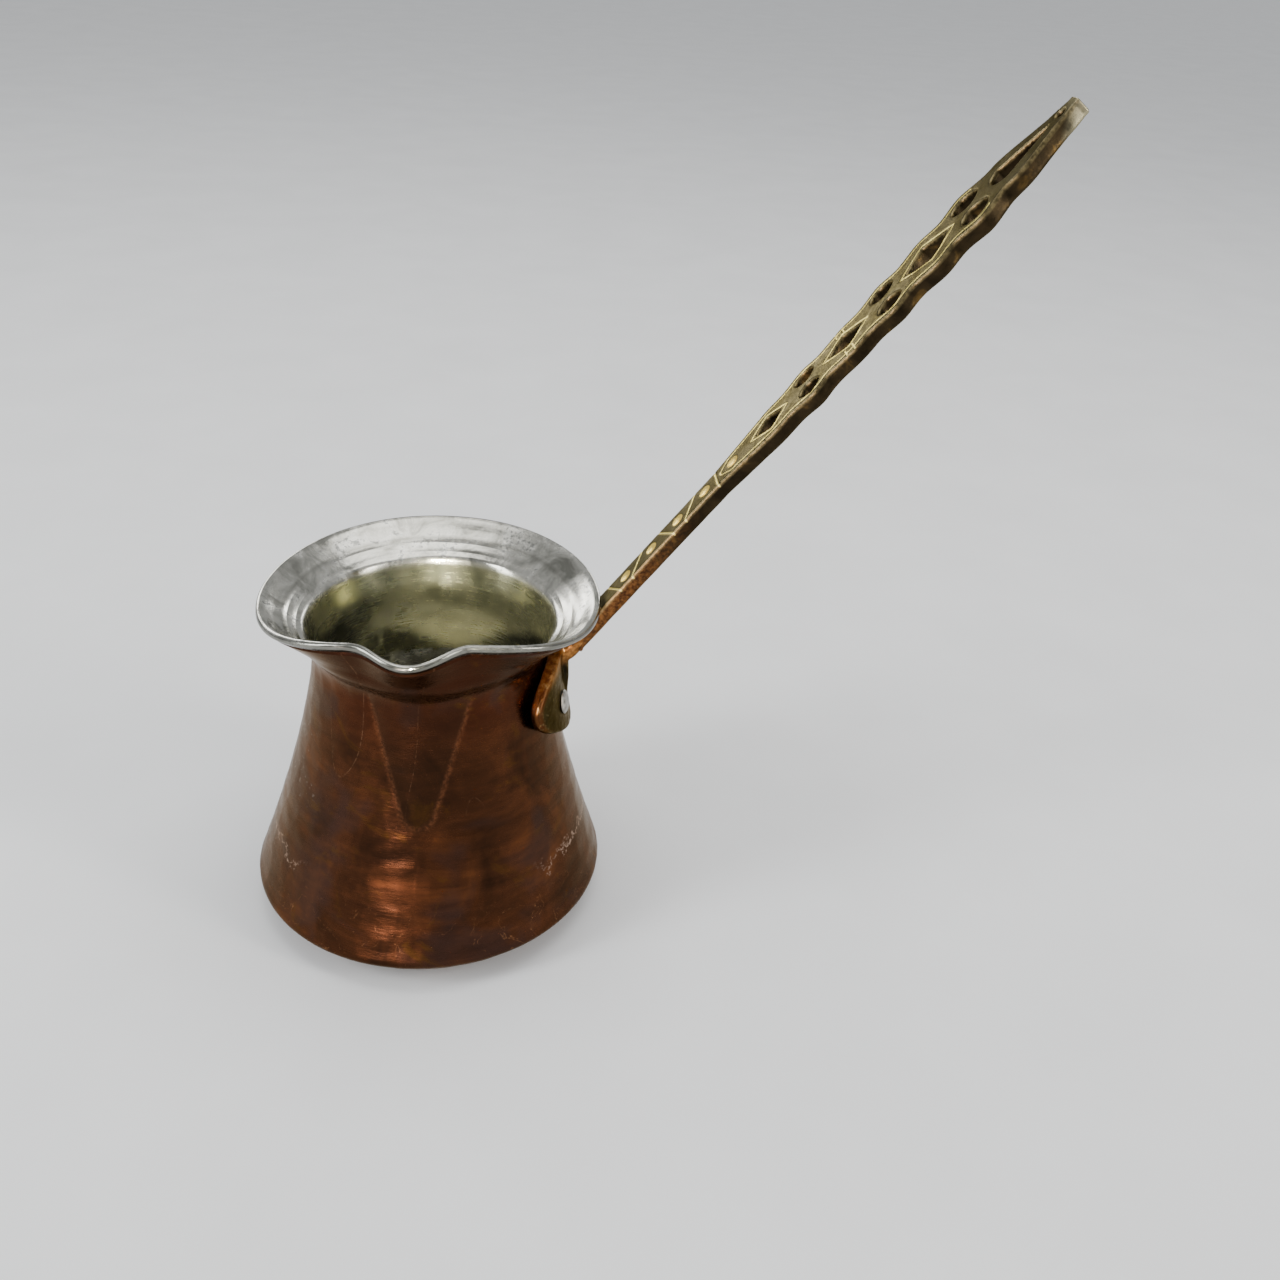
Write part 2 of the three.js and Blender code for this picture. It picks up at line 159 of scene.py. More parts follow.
def resample(points, step):
    """Points every step mm along a polyline, ends kept."""
    pts = np.array(points)
    d = np.concatenate([[0], np.cumsum(np.linalg.norm(np.diff(pts, axis=0), axis=1))])
    n = max(int(round(d[-1] / step)), 2)
    s = np.linspace(0, d[-1], n + 1)
    return [np.array([np.interp(q, d, pts[:, 0]), np.interp(q, d, pts[:, 1])]) for q in s]


def outside_skin():
    foot = bezier([(BASE_R, 0), (BELLY_R - 1, BELLY_Z * 0.58), (BELLY_R, BELLY_Z)], 24)
    z = np.linspace(BELLY_Z, NECK_Z, 90)[1:]
    return foot + [np.array([r, h]) for r, h in zip(body_radius(z), z)]


def soften_throat(face):
    """Evens out the tin's turn from the cup into the flange."""
    low, high, passes = 60, 78.4, 14
    for _ in range(passes):
        face = [p if not low < p[1] < high else (a + 2 * p + c) / 4
                for a, p, c in zip([face[0]] + face, face, face[1:] + [face[-1]])]
    return face


def body_profiles():
    """Half sections of the copper body and the tin lining, from axis to axis."""
    skin = outside_skin()
    under = bezier([(NECK_R, NECK_Z), (NECK_R, NECK_Z + 4.4), on_flange(0.2, -WALL),
                    on_flange(3.4, -WALL)], 14)[1:]
    step_back = FLANGE_W - BEAD - LIP_WRAP - GAP - 0.3
    lower_lip = [on_flange(a, -WALL) for a in np.linspace(4.2, step_back, 9)]
    tin_side = [p for p in offset(skin, -WALL) if p[1] > WALL + 0.4]
    floor = [np.array([r, WALL]) for r in (BASE_R - 6, BASE_R - 3, BASE_R - 1.2)]
    face = floor + tin_side + [
        np.array([THROAT_R - 1.3, THROAT_Z - 4]), np.array([THROAT_R - 0.25, THROAT_Z - 0.6]),
        on_flange(0.5, 0), *[on_flange(a, 0) for a in np.linspace(1.4, FLANGE_W - BEAD, 11)],
    ]
    face = soften_throat(resample(face, SEEN_STEP))
    back = offset(face, TIN)
    copper_face = offset(face, TIN + GAP)
    copper = [np.array([0.0, 0.0]), np.array([BASE_R * 0.5, 0.0]), *resample(skin, SEEN_STEP), *under,
              *lower_lip, on_flange(step_back + 0.3, -BEAD - LIP_COPPER / 2),
              *bead_arc(LIP_COPPER / 2, -90, 90, 5), *resample(copper_face[::-1], HIDDEN_STEP),
              np.array([0.0, COPPER])]
    tin = [np.array([0.0, COPPER + GAP]), *resample(back, HIDDEN_STEP),
           *bead_arc(BEAD - TIN, 90, -90, 6),
           on_flange(FLANGE_W - BEAD - LIP_WRAP, -2 * BEAD + TIN),
           on_flange(FLANGE_W - BEAD - LIP_WRAP, -2 * BEAD),
           *bead_arc(BEAD, -90, 90, 14), *resample(face[::-1], SEEN_STEP), np.array([0.0, WALL])]
    return copper, tin


# ---- spout, channel and lean, as in the part ----------------------------------------
def from_spout(a):
    """Azimuth measured from the spout, -pi to pi."""
    return np.arctan2(np.sin(a - SPOUT), np.cos(a - SPOUT))


def bell(b, reach):
    return (1 + np.cos(np.pi * np.minimum(np.abs(b) / reach, 1))) / 2


def tilt_at(b):
    """The flange's tilt at a bearing from the spout."""
    return FLANGE_TILT - (FLANGE_TILT - RAISED_TILT) * bell(b - RAISED_TURN, RAISED_REACH) \
        + POUR_DIP * bell(b - POUR_TURN, POUR_REACH)


def channel_half(z):
    return CHANNEL_TOE + CHANNEL_SPREAD * np.maximum(z - CHANNEL_FOOT, 0)


def channel_place(b, r, z):
    """Where a point lies in the V channel: 0 on its middle line, 1 on its edge or round toe."""
    return np.hypot(b * np.maximum(r, 20) / channel_half(z), np.maximum(CHANNEL_FOOT - z, 0) / CHANNEL_TOE)


def channel_at(b, r, z):
    """How far the channel pushes the wall out."""
    climb = np.clip((z - CHANNEL_FOOT) / (NECK_Z - CHANNEL_FOOT), 0, 1)
    inside = np.maximum(1 - channel_place(b, r, z) ** 2, 0)
    return CHANNEL_DEPTH * (0.4 + 0.6 * climb) * inside ** (1 + smooth(z, NECK_Z, THROAT_Z))


def pinch(a, r, z):
    """Azimuth, radius and height of a round section to a place on the finished pot."""
    b = from_spout(a)
    bulge = smooth(r, 18, 22) * channel_at(b, r, z)
    dx, dz = r - THROAT_R, z - THROAT_Z
    along = dx * FLANGE_DIR[0] + dz * FLANGE_DIR[1]
    reach = BACK_REACH * smooth(np.abs(b), rad(95), rad(170)) * np.maximum(along, 0) / FLANGE_W
    dx, dz = dx + reach * FLANGE_DIR[0], dz + reach * FLANGE_DIR[1]
    turn = (FLANGE_TILT - tilt_at(b)) * smooth(along, -3, 2.8)
    c, s = np.cos(turn), np.sin(turn)
    r2 = np.where(r > 1e-6, THROAT_R + dx * c - dz * s + bulge, r)
    z2 = np.where(r > 1e-6, THROAT_Z + dx * s + dz * c, z)
    return np.stack([r2 * np.cos(a) + LEAN * z2, r2 * np.sin(a), z2], -1)


def hammer_marks(a, r, z, seed, rows, per_row, depth):
    """Depth of overlapping planishing dents laid in rings: 0 at dent edges, depth inside."""
    width = 7.0
    low, high, pitch = rows
    rng = np.random.default_rng(seed)
    nearest = np.full(np.broadcast(a, z).shape, 9.0)
    second = nearest.copy()
    for z0 in np.arange(low, high, pitch):
        shift = rng.uniform(0, 2 * np.pi)
        step = 2 * np.pi / per_row
        k = (a - shift) / step
        for near in (np.floor(k), np.floor(k) + 1):
            jitter = np.sin(near * 12.9898 + z0 * 4.1) * 0.3
            tall = np.sin(near * 7.23 + z0 * 2.7) * 0.28
            du = (k - near - jitter) * step * r / width
            dv = (z - z0 - tall * pitch) / (pitch * 0.95)
            d = np.sqrt(du ** 2 + dv ** 2)
            second = np.minimum(second, np.maximum(nearest, d))
            nearest = np.minimum(nearest, d)
    return depth * np.clip((second - nearest) * 1.1, 0, 1) ** 0.8


def turned_faces(rows, turns):
    """Quads between rings of points, then a fan at each end to the two points that follow them."""
    faces = []
    for j in range(rows - 1):
        for i in range(turns):
            k = (i + 1) % turns
            faces.append((j * turns + i, j * turns + k, (j + 1) * turns + k, (j + 1) * turns + i))
    first, last = rows * turns, rows * turns + 1
    for i in range(turns):
        k = (i + 1) % turns
        faces.append((first, k, i))
        faces.append((last, (rows - 1) * turns + i, (rows - 1) * turns + k))
    return faces


def revolve(name, profile, dent, replaces):
    """Closed solid of revolution warped to the pot's shape; the profile starts and ends on the axis.

    The steps round it are finer at the spout. Returns the object and its azimuth, radius and height
    grids before the warp.
    """
    u = np.linspace(0, 2 * np.pi, TURNS, endpoint=False)
    azimuth = SPOUT + u - 0.35 * np.sin(u)
    ring = np.array(profile[1:-1])
    a, r = np.meshgrid(azimuth, ring[:, 0])
    z = np.repeat(ring[:, 1][:, None], TURNS, 1)
    normal = np.gradient(ring, axis=0)
    normal = np.stack([normal[:, 1], -normal[:, 0]], -1)
    normal /= np.maximum(np.linalg.norm(normal, axis=1), 1e-9)[:, None]
    push = dent(a, r, z)
    r = r + push * normal[:, 0][:, None]
    z = z + push * normal[:, 1][:, None]
    grid = pinch(a, r, z).reshape(-1, 3)
    ends = [np.array([LEAN * profile[0][1], 0, profile[0][1]]),
            np.array([LEAN * profile[-1][1], 0, profile[-1][1]])]
    verts = np.vstack([grid, ends])
    faces = turned_faces(len(ring), TURNS)
    return make_object(name, verts, faces, replaces), (a, r, z)


# ---- handle plan: s runs up the handle, w across it, both in mm -----------------------
FIRST_LOZENGE, STATION = 0.479, 0.0711


def station(n):
    """Place up the handle of the nth opening; they are evenly spaced along its length."""
    return LENGTH * (FIRST_LOZENGE + n * STATION)


# lozenges as place, length and width, the length and width of the border engraved round each,
# and pairs of ovals as place, length, width and distance apart
DIAMONDS = [(station(0), 7.8, 5.6), (station(2), 9.7, 6.1), (station(4), 11.7, 7.5)]
BORDERS = [(12.5, 7.8), (14.4, 8.1), (16.1, 9.7)]
PAIRS = [(station(1), 5.7, 4.6, 6.3), (station(3), 6.5, 4.9, 7.35), (station(5), 7.0, 5.4, 7.4)]
TEAR_A, TEAR_B, TEAR_W = station(5.485), station(6.744), 7.2
TEAR_POWER, LOZENGE_POWER, OVAL_POWER, BORDER_POWER = 0.75, 1.25, 1.74, 1.12
HANG_S, HANG_R = station(6.99), 1.1
STUDS = [station(-4.1 + 0.775 * n) for n in range(5)]
STUD_R, STUD_DEPTH = 1.8, 0.4
# engraved zigzag between the studs: start and end of each stroke up the handle, and its first side
ZIGZAG = [(25.6, 29.6, 1), (34.0, 38.7, -1), (44.4, 48.7, 1), (52.9, 57.6, -1)]
CROSS_LINE, CAP_LINE, BAND_START = 64.3, 65.8, 68.4
BAND_INSET, ENGRAVE_DEPTH = 1.15, 0.18

EDGE_POINTS = [
    (station(-1.48), BAR_W / 2), (station(-0.98), 4.2), (station(-0.45), 5.1), (station(0), 5.9),
    (station(0.5), 5.7), (station(1), 7.1), (station(1.44), 5.9), (station(2), 6.8),
    (station(2.48), 6.3), (station(3), 7.8), (station(3.46), 6.5), (station(4), 7.9),
    (station(4.47), 6.8), (station(5), 8.45), (station(5.52), 6.3), (station(5.93), 6.2),
    (station(6.62), 3.5), (station(6.84), 2.7), (HANG_S, 2.45), (LENGTH - 1.2, 1.6),
]


def catmull(points, steps):
    """The same curve as three.js SplineCurve, sampled."""
    p = np.array(points, float)
    out = []
    for i in range(len(p) - 1):
        a, b, c, d = p[max(i - 1, 0)], p[i], p[i + 1], p[min(i + 2, len(p) - 1)]
        v0, v1 = (c - a) / 2, (d - b) / 2
        for k in range(steps):
            t = k / steps
            out.append((2 * b - 2 * c + v0 + v1) * t ** 3 + (-3 * b + 3 * c - 2 * v0 - v1) * t ** 2
                       + v0 * t + b)
    return np.array(out + [p[-1]])


EDGE = catmull(EDGE_POINTS, 12)
EDGE_SLOPE = np.gradient(EDGE[:, 1], EDGE[:, 0])


def half_width(s):
    return np.interp(s, EDGE[:, 0], EDGE[:, 1], left=BAR_W / 2)


def edge_distance(s, w):
    """Distance in from the outline, positive inside."""
    slope = np.interp(s, EDGE[:, 0], EDGE_SLOPE, left=0)
    side = (half_width(s) - np.abs(w)) / np.sqrt(1 + slope ** 2)
    tip = LENGTH - s - 0.25 * np.maximum(np.abs(w) - 0.9, 0) ** 2
    return np.minimum(side, tip)


def superellipse(s, w, at, across, length, width, power):
    """Signed distance outward from a rounded lozenge or oval."""
    u, v = np.abs(s - at) / (length / 2), np.abs(w - across) / (width / 2)
    u, v = np.maximum(u, 1e-6), np.maximum(v, 1e-6)
    f = (u ** power + v ** power) ** (1 / power)
    gu = f ** (1 - power) * u ** (power - 1) / (length / 2)
    gv = f ** (1 - power) * v ** (power - 1) / (width / 2)
    return (f - 1) / np.sqrt(gu ** 2 + gv ** 2)


def tear_distance(s, w):
    """Signed distance outward from the teardrop, round at TEAR_A and pointed at TEAR_B."""
    t = np.clip((s - TEAR_A) / (TEAR_B - TEAR_A), 0, 1)
    half = TEAR_W / 2 * np.sqrt(np.minimum(1, 5 * t)) * (1 - t) ** TEAR_POWER
    ends = np.maximum(TEAR_A - s, s - TEAR_B)
    slope = np.where(t > 0.2, 0.26, 0.9)
    return np.maximum((np.abs(w) - half) / np.sqrt(1 + slope ** 2), ends)


def hole_distance(s, w):
    """Distance out from the nearest opening."""
    d = np.full(np.broadcast(s, w).shape, FAR_OFF)
    for at, length, width in DIAMONDS:
        d = np.minimum(d, superellipse(s, w, at, 0, length, width, LOZENGE_POWER))
    for at, length, width, apart in PAIRS:
        for side in (-1, 1):
            d = np.minimum(d, superellipse(s, w, at, side * apart / 2, length, width, OVAL_POWER))
    d = np.minimum(d, tear_distance(s, w))
    return np.minimum(d, np.hypot(s - HANG_S, w) - HANG_R)


def solid_distance(s, w):
    return np.minimum(edge_distance(s, w), hole_distance(s, w))


def line_distance(s, w, a, b):
    """Distance from the stroke between two points."""
    a, b = np.array(a), np.array(b)
    d = b - a
    t = np.clip(((s - a[0]) * d[0] + (w - a[1]) * d[1]) / (d @ d), 0, 1)
    return np.hypot(s - a[0] - t * d[0], w - a[1] - t * d[1])


def groove(distance, half):
    """1 on the centre line of an engraved groove, 0 from half its width out."""
    return np.clip(1 - np.abs(distance) / half, 0, 1)


def engraving(s, w):
    """How strongly each point is cut: zigzag, cross line, outline band, lozenge borders."""
    cut = np.zeros(np.broadcast(s, w).shape)
    edge = BAR_W / 2
    for start, end, side in ZIGZAG + [(CROSS_LINE, CROSS_LINE, -1)]:
        stroke = line_distance(s, w, (start, side * edge), (end, -side * edge))
        cut = np.maximum(cut, groove(stroke, 0.42))
    band = groove(edge_distance(s, w) - BAND_INSET, 0.4) * (s > BAND_START) * (s < station(5) + 3)
    cap = np.maximum(np.abs(w) - 0.55, 0) * 1.25 + CAP_LINE
    cut = np.maximum(cut, groove(s - cap, 0.45) * (np.abs(w) < 2.9) * (s < 69))
    cut = np.maximum(cut, band)
    for (at, _, _), (length, width) in zip(DIAMONDS, BORDERS):
        d = superellipse(s, w, at, 0, length, width, BORDER_POWER)
        cut = np.maximum(cut, groove(d + 0.3, 0.45))
    # a pair of short cross strokes on each side of the middle lozenge
    gate = np.abs(s - DIAMONDS[1][0] + 0.3)
    outside = (np.abs(w) > 3.9) & (edge_distance(s, w) > 0.2)
    cut = np.maximum(cut, groove(gate - 1.1, 0.4) * outside)
    return cut


def stud_dimple(s, w):
    """Depth of the round punch marks, 1 in the middle."""
    d = np.full(np.broadcast(s, w).shape, FAR_OFF)
    for at in STUDS:
        d = np.minimum(d, np.hypot(s - at, w))
    return np.clip(1 - (d / STUD_R) ** 2, 0, 1)


# ---- contour mesher: a flat field turned into a solid sheet with holes ------------------
def contour_sheet(field, lo, hi, step):
    """Vertices (s, w) and polygons that fill field > 0, cut cleanly along field = 0."""
    s = np.arange(lo[0], hi[0] + step, step)
    w = np.arange(lo[1], hi[1] + step, step)
    S, W = np.meshgrid(s, w, indexing="ij")
    D = field(S, W)
    h = step * 0.05
    gs = (field(S + h, W) - field(S - h, W)) / (2 * h)
    gw = (field(S, W + h) - field(S, W - h)) / (2 * h)
    g2 = np.maximum(gs ** 2 + gw ** 2, 0.25)
    snap = np.abs(D) < step * 0.3
    S = np.where(snap, S - D * gs / g2, S)
    W = np.where(snap, W - D * gw / g2, W)
    D = np.where(snap, 0.0, D)
    index, crossings, verts, polys = {}, {}, [], []

    def corner(i, j):
        if (i, j) not in index:
            index[i, j] = len(verts)
            verts.append((S[i, j], W[i, j]))
        return index[i, j]

    def crossing(p, q):
        key = (p, q) if p < q else (q, p)
        if key not in crossings:
            a, b = D[key[0]], D[key[1]]
            t = a / (a - b)
            crossings[key] = len(verts)
            verts.append((S[key[0]] * (1 - t) + S[key[1]] * t, W[key[0]] * (1 - t) + W[key[1]] * t))
        return crossings[key]

    inside = D >= 0
    counts = (inside[:-1, :-1].astype(int) + inside[1:, :-1] + inside[1:, 1:] + inside[:-1, 1:])
    solid = (D[:-1, :-1] + D[1:, :-1] + D[1:, 1:] + D[:-1, 1:]) > 0
    for i, j in zip(*np.nonzero((counts > 0) & (solid | (counts < 4)))):
        ring = [(i, j), (i + 1, j), (i + 1, j + 1), (i, j + 1)]
        poly = []
        for p, q in zip(ring, ring[1:] + ring[:1]):
            if D[p] >= 0:
                poly.append(corner(*p))
            if (D[p] > 0 > D[q]) or (D[p] < 0 < D[q]):
                poly.append(crossing(p, q))
        if len(poly) >= 3 and max(D[p] for p in ring) > 0:
            polys.append(poly)
    return np.array(verts), polys


def sheet_solid(name, plan, polys, top, bottom, replaces=()):
    """Closes a flat plan into a solid between two mapped surfaces, with walls round every edge."""
    used = sorted({i for p in polys for i in p})
    order = {v: i for i, v in enumerate(used)}
    polys = [[order[i] for i in p] for p in polys]
    plan = plan[used]
    n = len(plan)
    upper, lower = top(plan), bottom(plan)
    edges = {}
    for p in polys:
        for a, b in zip(p, p[1:] + p[:1]):
            edges[a, b] = edges.get((a, b), 0) + 1
    rim = [(a, b) for a, b in edges if (b, a) not in edges]
    verts = [upper, lower]
    faces = [tuple(p) for p in polys] + [tuple(n + i for i in reversed(p)) for p in polys]
    ids = sorted({i for e in rim for i in e})
    base = {i: k for k, i in enumerate(ids)}
    levels = [dict(zip(ids, ids))]
    start = 2 * n
    for row in range(1, WALL_ROWS):
        t = row / WALL_ROWS
        verts.append(upper[ids] * (1 - t) + lower[ids] * t)
        levels.append({i: start + base[i] for i in ids})
        start += len(ids)
    levels.append({i: n + i for i in ids})
    for a, b in rim:
        for high, low in zip(levels, levels[1:]):
            faces.append((high[b], high[a], low[a], low[b]))
    return make_object(name, np.vstack(verts), faces, replaces), plan


# ---- handle in space -----------------------------------------------------------------
ALONG = np.array([math.cos(SLOPE), 0, math.sin(SLOPE)])
UPWARD = np.array([-math.sin(SLOPE), 0, math.cos(SLOPE)])
ACROSS = np.array([0, 1.0, 0])
BEAD_CENTRE = bead(0, 0)
BAR_ROOT = np.array([BEAD_CENTRE[0] + LEAN * BEAD_CENTRE[1], 0, BEAD_CENTRE[1]]) - UPWARD * (BEAD + GAP) \
    - ALONG * LIP_STATION


def on_bar(s, w, h):
    """A place on the handle: s up it, w across it, h above its top face."""
    s, w, h = np.broadcast_arrays(s, w, h - TIP_DROOP * smooth(s / LENGTH, 0.86, 1))
    return BAR_ROOT + s[..., None] * ALONG + w[..., None] * ACROSS + h[..., None] * UPWARD


def edge_round(d, r):
    """How far an edge rounded to radius r drops at distance d in from it."""
    t = np.clip(r - d, 0, r)
    return r - np.sqrt(np.maximum(r * r - t * t, 0))


def bar_thickness(s):
    return ROOT_T + (TIP_T - ROOT_T) * smooth(s / LENGTH, 0.7, 0.95)


def build_bar():
    """The pierced handle; its square root end is buried in the elbow."""
    def field(s, w):
        return np.minimum(solid_distance(s, w), s - BAR_START)

    def inset(s, w):
        return np.where(s < BAR_START + 1, FAR_OFF, solid_distance(s, w))

    def top(p):
        s, w = p.T
        ripple = 0.05 * (value_noise(np.c_[s, w, 0 * s], 5.0, 1) - 1)
        cut = ENGRAVE_DEPTH * engraving(s, w) ** 1.3 + STUD_DEPTH * stud_dimple(s, w)
        return on_bar(s, w, ripple - edge_round(inset(s, w), 0.4) - cut)

    def bottom(p):
        s, w = p.T
        ripple = 0.08 * (value_noise(np.c_[s, w, 0 * s], 4.0, 2) + 1)
        return on_bar(s, w, -bar_thickness(s) + edge_round(inset(s, w), 0.7) + ripple)

    plan, polys = contour_sheet(field, (BAR_START - 1, -9), (LENGTH + 0.5, 9), BAR_STEP)
    obj, plan = sheet_solid("brass_handle_bar", plan, polys, top, bottom,
                            replaces=["brass_handle"])
    s, w = plan.T
    n, total = len(plan), len(obj.data.vertices)
    for name, values in (("engraved", engraving(s, w)), ("stud", stud_dimple(s, w)),
                         ("face", smooth(solid_distance(s, w), 0.05, 0.35)),
                         ("rim", 1 - smooth(solid_distance(s, w), 0.05, 0.42))):
        full = np.zeros(total)
        full[:n] = values
        set_attribute(obj, name, full)
    return obj


# ---- palm plate and elbow ------------------------------------------------------------
def polygon_distance(points, x, y):
    """Signed distance to a closed outline, positive inside."""
    p = np.array(points)
    q = np.roll(p, -1, axis=0)
    best, inside = np.full(x.shape, FAR_OFF), np.zeros(x.shape, bool)
    for (x0, y0), (x1, y1) in zip(p, q):
        dx, dy = x1 - x0, y1 - y0
        t = np.clip(((x - x0) * dx + (y - y0) * dy) / (dx * dx + dy * dy), 0, 1)
        best = np.minimum(best, np.hypot(x - x0 - t * dx, y - y0 - t * dy))
        crosses = (y0 > y) != (y1 > y)
        with np.errstate(divide="ignore", invalid="ignore"):
            inside ^= crosses & (x < (x1 - x0) * (y - y0) / (y1 - y0) + x0)
    return np.where(inside, best, -best)


def plate_outline():
    """The palm plate unrolled: a wide leaf with a flattened top."""
    half = catmull([
        (0, PLATE_TOP), (BAR_W / 2 + 1.4, PLATE_TOP - 0.1), (PLATE_HALF * 0.52, PLATE_TOP - 1.6),
        (PLATE_HALF * 0.8, PLATE_TOP - 4.6), (PLATE_HALF * 0.97, PLATE_TOP - 8),
        (PLATE_HALF, PLATE_LOW + 11.5), (PLATE_HALF * 0.96, PLATE_LOW + 8.4),
        (PLATE_HALF * 0.78, PLATE_LOW + 5.3), (PLATE_HALF * 0.36, PLATE_LOW + 1.1), (0, PLATE_LOW),
    ], 6)
    return np.vstack([half, half[1:-1][::-1] * [-1, 1]])


SEAT_R = float(body_radius(RIVET_Z))
SEAT_SLOPE = float(body_radius(RIVET_Z + 1) - body_radius(RIVET_Z - 1)) / 2
SEAT_BEARING = math.asin(RIVET_Y / SEAT_R)
PLATE_BEARING = math.asin(PLATE_HALF / (SEAT_R + PLATE_T))


def on_neck(y, z, h):
    """A place on the palm plate: h mm out from its inner face."""
    r0 = body_radius(z) + GAP
    a = np.arcsin(np.clip(y / (r0 + PLATE_T), -1, 1))
    r = r0 + PLATE_LIFT * (a / PLATE_BEARING) ** 2 + h
    return np.stack([r * np.cos(a) + LEAN * z, r * np.sin(a), z], -1)


def loft(sections, around=28):
    """Skin over (outer point, inner point, half width) sections with rounded corners."""
    square = 0.55
    rows = []
    for outer, inner, half in sections:
        mid, reach = (outer + inner) / 2, (outer - inner) / 2
        for k in range(around):
            t = 2 * np.pi * k / around
            c, s = math.cos(t), math.sin(t)
            u = math.copysign(abs(c) ** square, c)
            v = math.copysign(abs(s) ** square, s)
            p = mid + reach * u
            rows.append((p[0], v * half, p[1]))
    n = len(sections)
    faces = []
    for j in range(n - 1):
        for k in range(around):
            m = (k + 1) % around
            faces.append((j * around + k, (j + 1) * around + k, (j + 1) * around + m, j * around + m))
    faces += [tuple(range(around)), tuple(reversed(range((n - 1) * around, n * around)))]
    return rows, faces


def plate_face_x(z):
    return float(body_radius(z)) + LEAN * z + GAP + PLATE_T


def elbow_sections():
    """Sections up the plate's middle and round the bend onto the bar."""
    def bar_point(s, h):
        p = on_bar(np.array(s, float), 0.0, np.array(h, float))
        return np.array([p[0], p[2]])

    keys = []
    for z, proud, half in ((FOOT_LOW - 1.2, -0.9, 1.6), (FOOT_LOW + 0.2, -0.1, 2.5),
                           (FOOT_LOW + 3, 0.35, 2.95), (61.5, 0.8, 3.1), (64.5, 1.35, 3.2)):
        x = plate_face_x(z)
        keys.append((np.array([x + proud, z]), np.array([x - 2.4, z]), half))
    for s_out, s_in, swell, half in ((6.3, 4.4, -0.25, 3.25), (7.9, 6.6, 0.1, 3.3),
                                     (9.6, 8.8, 0.12, 3.33), (12.0, 11.6, 0.08, 3.3),
                                     (14.5, 14.5, -0.05, 3.2), (18.0, 18.0, -0.6, 2.6)):
        keys.append((bar_point(s_out, -ROOT_T - swell), bar_point(s_in, min(swell, 0.0)), half))
    out = catmull([np.r_[a, b, [h]] for a, b, h in keys], 5)
    return [(row[:2], row[2:4], row[4]) for row in out]


def apply_modifiers(obj):
    """Replaces the mesh with its modified one."""
    graph = bpy.context.evaluated_depsgraph_get()
    mesh = bpy.data.meshes.new_from_object(obj.evaluated_get(graph))
    obj.modifiers.clear()
    obj.data = mesh


def add_elbow(obj):
    """Adds the elbow to the plate's mesh and melts the two into one casting."""
    verts, faces = loft(elbow_sections())
    bm = bmesh.new()
    bm.from_mesh(obj.data)
    new = [bm.verts.new(Vector(v) * MM) for v in verts]
    for f in faces:
        bm.faces.new([new[i] for i in f])
    bmesh.ops.recalc_face_normals(bm, faces=bm.faces)
    bm.to_mesh(obj.data)
    bm.free()
    remesh = obj.modifiers.new("merge", "REMESH")
    remesh.mode, remesh.voxel_size, remesh.use_smooth_shade = "VOXEL", MERGE_VOXEL * MM, True
    soften = obj.modifiers.new("soften", "SMOOTH")
    soften.factor, soften.iterations = 0.5, 5
    apply_modifiers(obj)


def build_plate():
    outline = plate_outline()

    def inset(y, z):
        return polygon_distance(outline, y, z)

    def top(p):
        y, z = p.T
        return on_neck(y, z, PLATE_T - edge_round(inset(y, z), 1.0))

    def bottom(p):
        y, z = p.T
        return on_neck(y, z, 0.05 + edge_round(inset(y, z), 0.35))

    plan, polys = contour_sheet(inset, (-PLATE_HALF - 1, PLATE_LOW - 1),
                                (PLATE_HALF + 1, PLATE_TOP + 1), PLATE_STEP)
    obj, _ = sheet_solid("brass_palm_plate", plan, polys, top, bottom)
    add_elbow(obj)
    co = np.empty(len(obj.data.vertices) * 3)
    obj.data.vertices.foreach_get("co", co)
    co = co.reshape(-1, 3) / MM
    # shallow dents on the outer face of the plate, towards the pot's axis
    out = np.stack([co[:, 0] - LEAN * co[:, 2], co[:, 1], 0 * co[:, 0]], -1)
    radius = np.linalg.norm(out, axis=1)
    proud = smooth(radius - body_radius(co[:, 2]), 1.5, 2.8) * (co[:, 2] < 70)
    dents = 0.16 * np.abs(value_noise(co, 4.2, 3)) + 0.05 * np.abs(value_noise(co, 1.6, 4))
    co -= (out / radius[:, None]) * (proud * dents)[:, None]
    obj.data.vertices.foreach_set("co", (co * MM).ravel())
    obj.data.update()
    obj.data.shade_smooth()
    sheltered = smooth(inset(co[:, 1], co[:, 2]), 1.6, 0.5) * smooth(co[:, 2], 56, 60)
    set_attribute(obj, "edge", sheltered * (co[:, 1] < 0) * (co[:, 2] < PLATE_TOP))
    return obj


